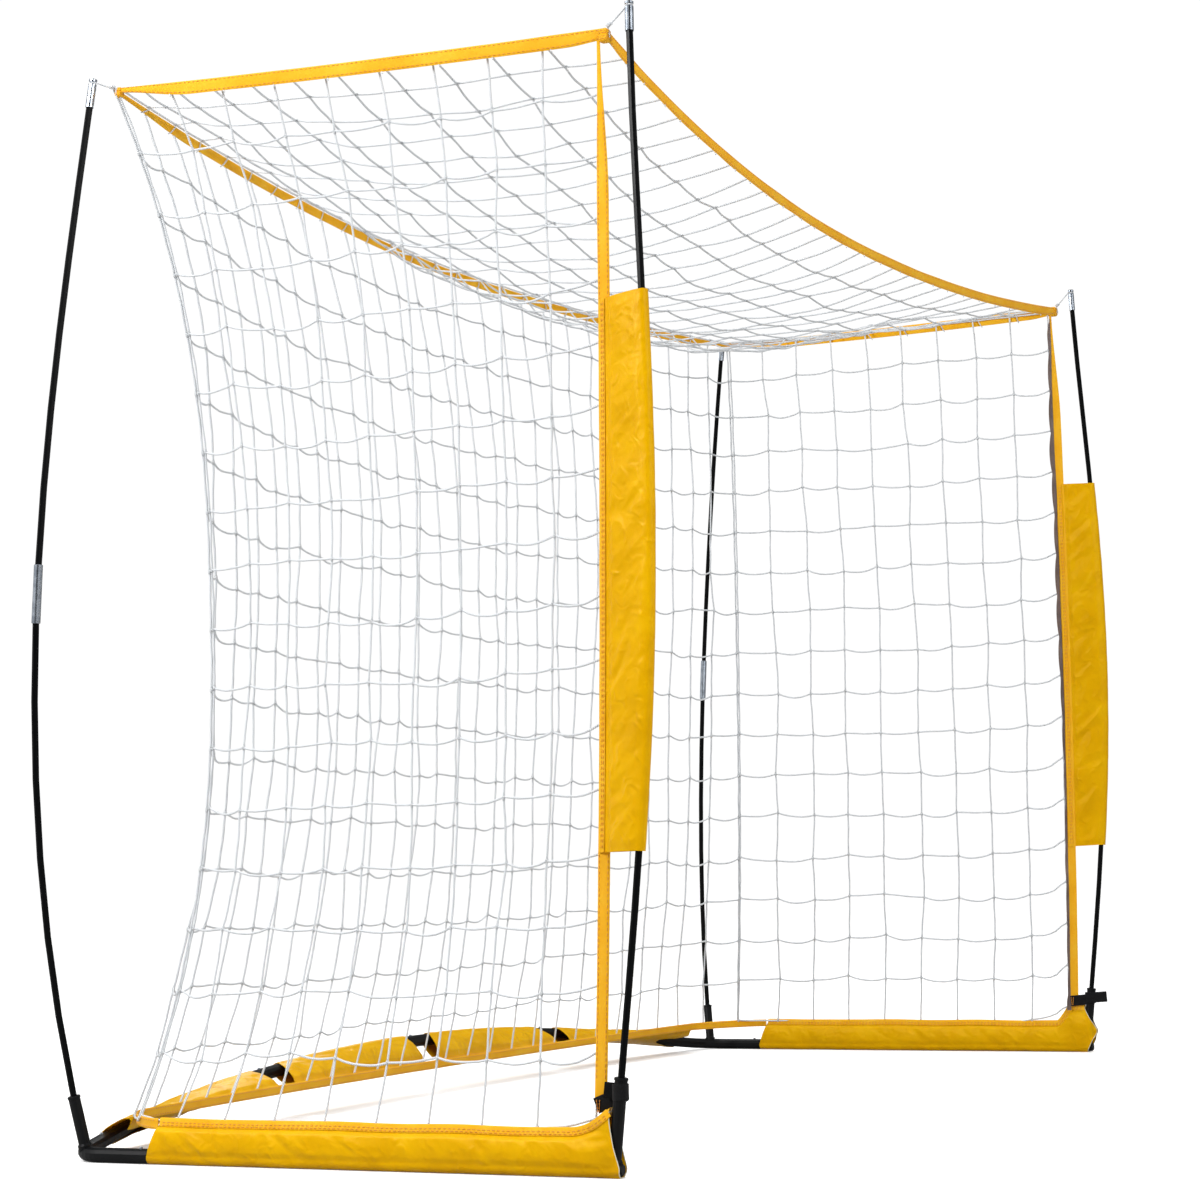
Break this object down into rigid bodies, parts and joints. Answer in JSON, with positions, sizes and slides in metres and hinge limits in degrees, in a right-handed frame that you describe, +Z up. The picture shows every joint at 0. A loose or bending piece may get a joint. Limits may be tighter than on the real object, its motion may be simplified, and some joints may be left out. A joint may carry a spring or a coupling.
{
  "type": "portable soccer goal",
  "caption": "Portable goal with bowed poles on a U-shaped tube base, a hung net, cloth bands, pole shields and base sleeves, for ball games.",
  "frame": {"origin": "centre of the goal's plan outline, on the ground", "axes": "+Z up; the open mouth faces -Y; +X is to the right for someone in front of the mouth"},
  "size_m": [2.7852, 1.2196, 1.8507],
  "materials": {
    "black_coated_steel": "satin black powder coat",
    "black_fibreglass": "smooth satin-gloss rod",
    "plated_steel": "bright zinc plating",
    "coated_cloth": "yellow coated polyester with a soft sheen",
    "hook_and_loop": "black woven hook-and-loop tape",
    "net_cord": "white knotless braided cord"
  },
  "bodies": {
    "goal": {"closure_strap_left": "hook_and_loop", "closure_strap_right": "hook_and_loop", "corner_elbow_left": "black_coated_steel", "corner_elbow_right": "black_coated_steel", "crossbar_band": "coated_cloth", "front_band_left": "coated_cloth", "front_band_right": "coated_cloth", "hem_band": "coated_cloth", "lower_pole_front_left": "black_fibreglass", "lower_pole_front_right": "black_fibreglass", "lower_pole_rear_left": "black_fibreglass", "lower_pole_rear_right": "black_fibreglass", "mid_ferrule_front_left": "plated_steel", "mid_ferrule_front_right": "plated_steel", "mid_ferrule_rear_left": "plated_steel", "mid_ferrule_rear_right": "plated_steel", "pole_shield_left": "coated_cloth", "pole_shield_right": "coated_cloth", "pole_tip_front_left": "plated_steel", "pole_tip_front_right": "plated_steel", "pole_tip_rear_left": "plated_steel", "pole_tip_rear_right": "plated_steel", "rear_band": "coated_cloth", "rear_net": "net_cord", "rear_sleeve_1": "coated_cloth", "rear_sleeve_2": "coated_cloth", "rear_sleeve_3": "coated_cloth", "rear_sleeve_4": "coated_cloth", "rear_tube_1": "black_coated_steel", "rear_tube_2": "black_coated_steel", "rear_tube_3": "black_coated_steel", "rear_tube_4": "black_coated_steel", "roof_net": "net_cord", "side_band_left": "coated_cloth", "side_band_right": "coated_cloth", "side_net_left": "net_cord", "side_net_right": "net_cord", "side_sleeve_left": "coated_cloth", "side_sleeve_right": "coated_cloth", "side_tube_left": "black_coated_steel", "side_tube_right": "black_coated_steel", "socket_front_left": "black_coated_steel", "socket_front_right": "black_coated_steel", "socket_rear_left": "black_coated_steel", "socket_rear_right": "black_coated_steel", "tie_cord_front_left": "net_cord", "tie_cord_front_right": "net_cord", "tie_cord_rear_left": "net_cord", "tie_cord_rear_right": "net_cord", "upper_pole_front_left": "black_fibreglass", "upper_pole_front_right": "black_fibreglass", "upper_pole_rear_left": "black_fibreglass", "upper_pole_rear_right": "black_fibreglass"},
    "side_button_left": {"side_button_left": "plated_steel"},
    "side_button_right": {"side_button_right": "plated_steel"},
    "rear_button_1": {"rear_button_1": "plated_steel"},
    "rear_button_2": {"rear_button_2": "plated_steel"},
    "rear_button_3": {"rear_button_3": "plated_steel"},
    "rear_button_4": {"rear_button_4": "plated_steel"},
    "rear_button_5": {"rear_button_5": "plated_steel"}
  },
  "joints": [
    {"name": "side_button_left_press", "type": "slide", "parent": "goal", "child": "side_button_left", "axis": [0, 0, 1], "range_m": [-0.0048, 0], "stiffness_N_per_m": 1500},
    {"name": "side_button_right_press", "type": "slide", "parent": "goal", "child": "side_button_right", "axis": [0, 0, 1], "range_m": [-0.0048, 0], "stiffness_N_per_m": 1500},
    {"name": "rear_button_1_press", "type": "slide", "parent": "goal", "child": "rear_button_1", "axis": [-0.1062, -0.0278, 0.994], "range_m": [-0.0048, 0], "stiffness_N_per_m": 1500},
    {"name": "rear_button_2_press", "type": "slide", "parent": "goal", "child": "rear_button_2", "axis": [-0.0738, -0.0021, 0.9973], "range_m": [-0.0048, 0], "stiffness_N_per_m": 1500},
    {"name": "rear_button_3_press", "type": "slide", "parent": "goal", "child": "rear_button_3", "axis": [-0.007, 0, 1], "range_m": [-0.0048, 0], "stiffness_N_per_m": 1500},
    {"name": "rear_button_4_press", "type": "slide", "parent": "goal", "child": "rear_button_4", "axis": [0.0738, -0.0021, 0.9973], "range_m": [-0.0048, 0], "stiffness_N_per_m": 1500},
    {"name": "rear_button_5_press", "type": "slide", "parent": "goal", "child": "rear_button_5", "axis": [0.1062, -0.0278, 0.994], "range_m": [-0.0048, 0], "stiffness_N_per_m": 1500}
  ]
}
